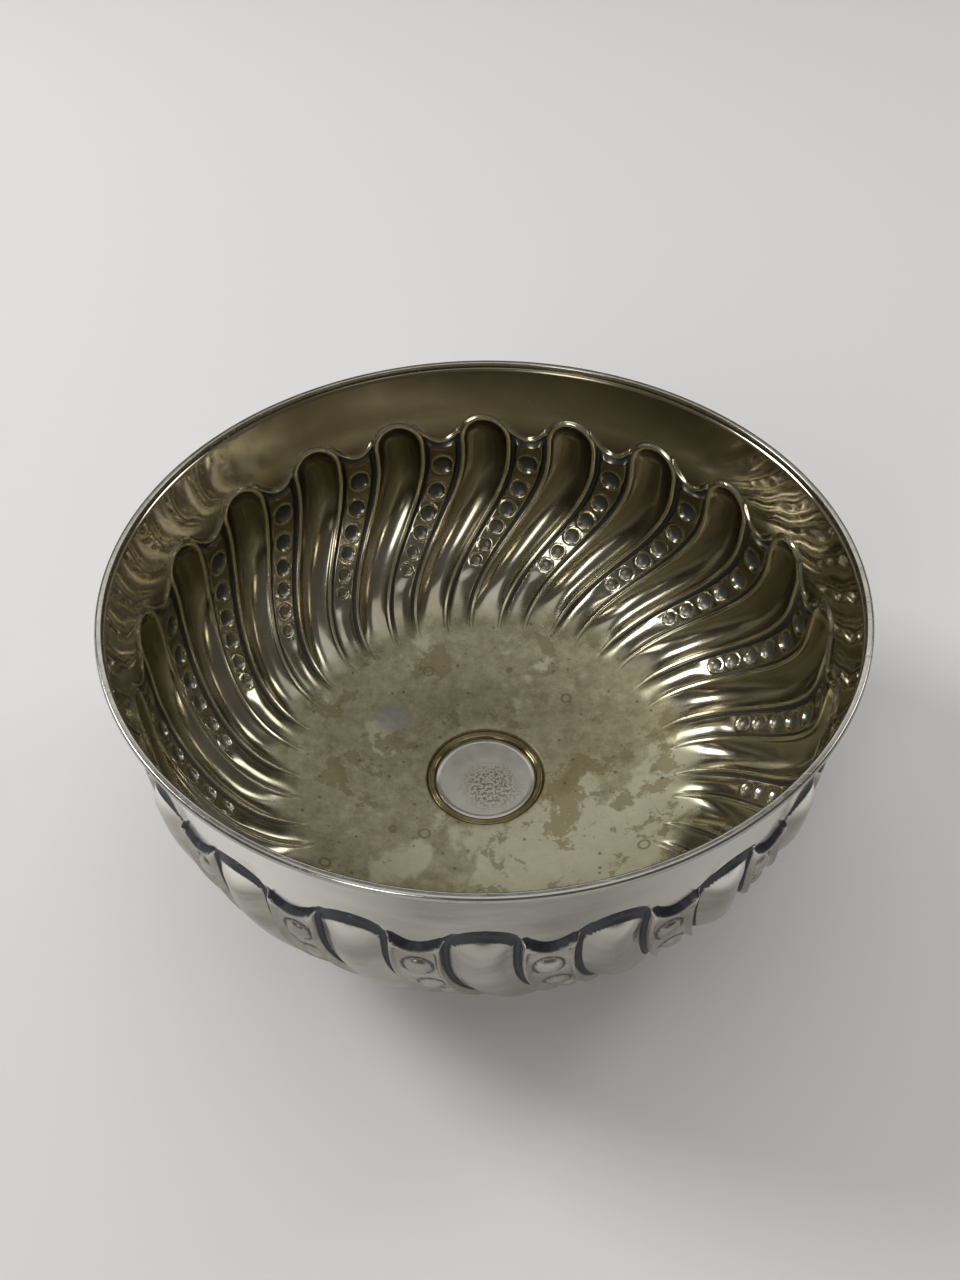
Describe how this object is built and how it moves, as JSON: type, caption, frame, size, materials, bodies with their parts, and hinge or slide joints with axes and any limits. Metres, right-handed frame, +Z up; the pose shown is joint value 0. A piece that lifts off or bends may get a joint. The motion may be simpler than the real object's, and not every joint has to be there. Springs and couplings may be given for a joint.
{
  "type": "shaving bowl",
  "caption": "Round raised metal shaving bowl with spiral flutes between bands of graduated beads, a plain upper band, a wired rim and a small central well.",
  "frame": {"origin": "centre of the foot ring's resting circle, at the bottom of the bowl", "axes": "+Z up along the bowl's axis, out of the mouth; +X and +Y across the mouth, with +X through the middle of one flute's top"},
  "size_m": [0.14, 0.14, 0.068],
  "materials": {
    "raised_silver": "worn polished silver, warm tarnish in the hollows, dark oxide in the grooves",
    "polished_silver": "polished silver with fine hazy wear",
    "disc_silver": "rubbed bright silver with small scratches",
    "gilt_silver": "worn gilding over silver with dark edges"
  },
  "bodies": {
    "root": {"bowl_shell": "raised_silver", "rim_wire": "polished_silver", "centre_disc": "disc_silver", "disc_bezel": "gilt_silver", "foot_ring": "polished_silver"}
  },
  "joints": []
}
